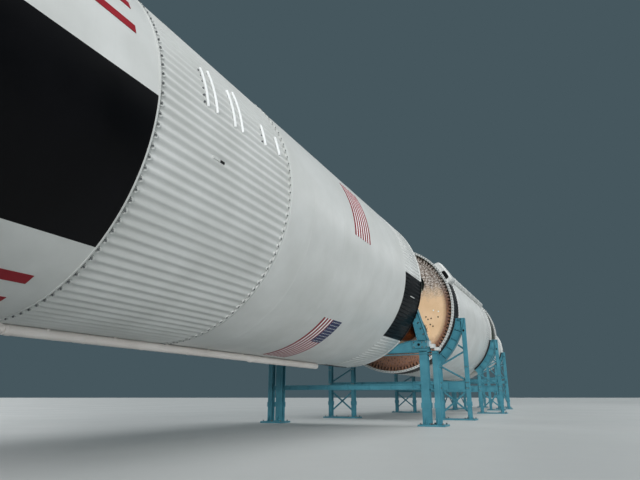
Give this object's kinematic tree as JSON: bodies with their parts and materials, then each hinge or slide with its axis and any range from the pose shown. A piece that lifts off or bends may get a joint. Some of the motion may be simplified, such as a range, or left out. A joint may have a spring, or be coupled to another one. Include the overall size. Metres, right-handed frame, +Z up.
{
  "type": "three-stage space rocket on display stands, 1:10 scale model",
  "caption": "Moon rocket on its side, stages pulled apart on steel stands, with swinging engines, fins, adapter, crew module with hatch and escape tower.",
  "frame": {"origin": "on the floor, midway along the whole length and below the rocket's axis", "axes": "+X towards the nose, +Z up, -Y the side that the picture shows"},
  "size_m": [11.957, 1.3718, 1.5309],
  "materials": {
    "white_paint": "satin white paint",
    "teal_paint": "satin teal paint on steel",
    "bare_aluminium": "bare, dull",
    "engine_steel": "heat-tinted tubes",
    "tan_insulation": "matt glass-fibre board"
  },
  "bodies": {
    "airframe": {"thrust_structure": "white_paint", "fuel_tank": "white_paint", "intertank": "white_paint", "oxidizer_tank": "white_paint", "first_stage_forward_skirt": "white_paint", "cable_tunnel_lower": "white_paint", "cable_tunnel_upper": "white_paint", "engine_fairing_1": "white_paint", "fin_1": "white_paint", "engine_fairing_2": "white_paint", "fin_2": "white_paint", "engine_fairing_3": "white_paint", "fin_3": "white_paint", "engine_fairing_4": "white_paint", "fin_4": "white_paint", "first_stage_center_engine": "engine_steel", "second_stage_aft_skirt": "white_paint", "second_stage_heat_shield": "tan_insulation", "second_stage_thrust_cone": "bare_aluminium", "second_stage_tank": "white_paint", "second_stage_forward_skirt": "white_paint", "second_stage_tunnel": "white_paint", "second_stage_center_engine": "engine_steel", "third_stage_interstage": "white_paint", "third_stage_tank": "white_paint", "third_stage_forward_skirt": "white_paint", "control_module_1": "white_paint", "control_module_2": "white_paint", "instrument_ring": "white_paint", "spacecraft_adapter": "white_paint", "service_module": "bare_aluminium", "crew_module": "white_paint", "escape_tower": "white_paint", "escape_motor": "white_paint", "stand_1": "teal_paint", "stand_2": "teal_paint", "stand_3": "teal_paint", "stand_4": "teal_paint", "stand_5": "teal_paint", "stand_6": "teal_paint", "stand_7": "teal_paint"},
    "first_1_gimbal": {"first_stage_gimbal_1": "bare_aluminium"},
    "first_1_engine": {"first_stage_engine_1": "engine_steel"},
    "first_2_gimbal": {"first_stage_gimbal_2": "bare_aluminium"},
    "first_2_engine": {"first_stage_engine_2": "engine_steel"},
    "first_3_gimbal": {"first_stage_gimbal_3": "bare_aluminium"},
    "first_3_engine": {"first_stage_engine_3": "engine_steel"},
    "first_4_gimbal": {"first_stage_gimbal_4": "bare_aluminium"},
    "first_4_engine": {"first_stage_engine_4": "engine_steel"},
    "second_1_gimbal": {"second_stage_gimbal_1": "bare_aluminium"},
    "second_1_engine": {"second_stage_engine_1": "engine_steel"},
    "second_2_gimbal": {"second_stage_gimbal_2": "bare_aluminium"},
    "second_2_engine": {"second_stage_engine_2": "engine_steel"},
    "second_3_gimbal": {"second_stage_gimbal_3": "bare_aluminium"},
    "second_3_engine": {"second_stage_engine_3": "engine_steel"},
    "second_4_gimbal": {"second_stage_gimbal_4": "bare_aluminium"},
    "second_4_engine": {"second_stage_engine_4": "engine_steel"},
    "third_gimbal": {"third_stage_gimbal": "bare_aluminium"},
    "third_engine": {"third_stage_engine": "engine_steel"},
    "hatch": {"crew_hatch": "white_paint"}
  },
  "joints": [
    {"name": "first_1_engine_yaw", "type": "hinge", "parent": "airframe", "child": "first_1_gimbal", "pos_m": [-5.4325, -0.32668, 1.17168], "axis": [0, 0, 1], "range_deg": [-5.15, 5.15]},
    {"name": "first_1_engine_pitch", "type": "hinge", "parent": "first_1_gimbal", "child": "first_1_engine", "pos_m": [-5.4325, -0.32668, 1.17168], "axis": [0, 1, 0], "range_deg": [-5.15, 5.15]},
    {"name": "first_2_engine_yaw", "type": "hinge", "parent": "airframe", "child": "first_2_gimbal", "pos_m": [-5.4325, -0.32668, 0.51832], "axis": [0, 0, 1], "range_deg": [-5.15, 5.15]},
    {"name": "first_2_engine_pitch", "type": "hinge", "parent": "first_2_gimbal", "child": "first_2_engine", "pos_m": [-5.4325, -0.32668, 0.51832], "axis": [0, 1, 0], "range_deg": [-5.15, 5.15]},
    {"name": "first_3_engine_yaw", "type": "hinge", "parent": "airframe", "child": "first_3_gimbal", "pos_m": [-5.4325, 0.32668, 0.51832], "axis": [0, 0, 1], "range_deg": [-5.15, 5.15]},
    {"name": "first_3_engine_pitch", "type": "hinge", "parent": "first_3_gimbal", "child": "first_3_engine", "pos_m": [-5.4325, 0.32668, 0.51832], "axis": [0, 1, 0], "range_deg": [-5.15, 5.15]},
    {"name": "first_4_engine_yaw", "type": "hinge", "parent": "airframe", "child": "first_4_gimbal", "pos_m": [-5.4325, 0.32668, 1.17168], "axis": [0, 0, 1], "range_deg": [-5.15, 5.15]},
    {"name": "first_4_engine_pitch", "type": "hinge", "parent": "first_4_gimbal", "child": "first_4_engine", "pos_m": [-5.4325, 0.32668, 1.17168], "axis": [0, 1, 0], "range_deg": [-5.15, 5.15]},
    {"name": "second_1_engine_yaw", "type": "hinge", "parent": "airframe", "child": "second_1_gimbal", "pos_m": [-0.7245, -0.1888, 1.0338], "axis": [0, 0, 1], "range_deg": [-7, 7]},
    {"name": "second_1_engine_pitch", "type": "hinge", "parent": "second_1_gimbal", "child": "second_1_engine", "pos_m": [-0.7245, -0.1888, 1.0338], "axis": [0, 1, 0], "range_deg": [-7, 7]},
    {"name": "second_2_engine_yaw", "type": "hinge", "parent": "airframe", "child": "second_2_gimbal", "pos_m": [-0.7245, -0.1888, 0.6562], "axis": [0, 0, 1], "range_deg": [-7, 7]},
    {"name": "second_2_engine_pitch", "type": "hinge", "parent": "second_2_gimbal", "child": "second_2_engine", "pos_m": [-0.7245, -0.1888, 0.6562], "axis": [0, 1, 0], "range_deg": [-7, 7]},
    {"name": "second_3_engine_yaw", "type": "hinge", "parent": "airframe", "child": "second_3_gimbal", "pos_m": [-0.7245, 0.1888, 0.6562], "axis": [0, 0, 1], "range_deg": [-7, 7]},
    {"name": "second_3_engine_pitch", "type": "hinge", "parent": "second_3_gimbal", "child": "second_3_engine", "pos_m": [-0.7245, 0.1888, 0.6562], "axis": [0, 1, 0], "range_deg": [-7, 7]},
    {"name": "second_4_engine_yaw", "type": "hinge", "parent": "airframe", "child": "second_4_gimbal", "pos_m": [-0.7245, 0.1888, 1.0338], "axis": [0, 0, 1], "range_deg": [-7, 7]},
    {"name": "second_4_engine_pitch", "type": "hinge", "parent": "second_4_gimbal", "child": "second_4_engine", "pos_m": [-0.7245, 0.1888, 1.0338], "axis": [0, 1, 0], "range_deg": [-7, 7]},
    {"name": "third_engine_yaw", "type": "hinge", "parent": "airframe", "child": "third_gimbal", "pos_m": [2.0205, 0, 0.845], "axis": [0, 0, 1], "range_deg": [-7, 7]},
    {"name": "third_engine_pitch", "type": "hinge", "parent": "third_gimbal", "child": "third_engine", "pos_m": [2.0205, 0, 0.845], "axis": [0, 1, 0], "range_deg": [-7, 7]},
    {"name": "crew_hatch_hinge", "type": "hinge", "parent": "airframe", "child": "hatch", "pos_m": [4.7535, -0.131, 0.888], "axis": [-0.8629, -0.5054, 0], "range_deg": [0, 100]}
  ]
}
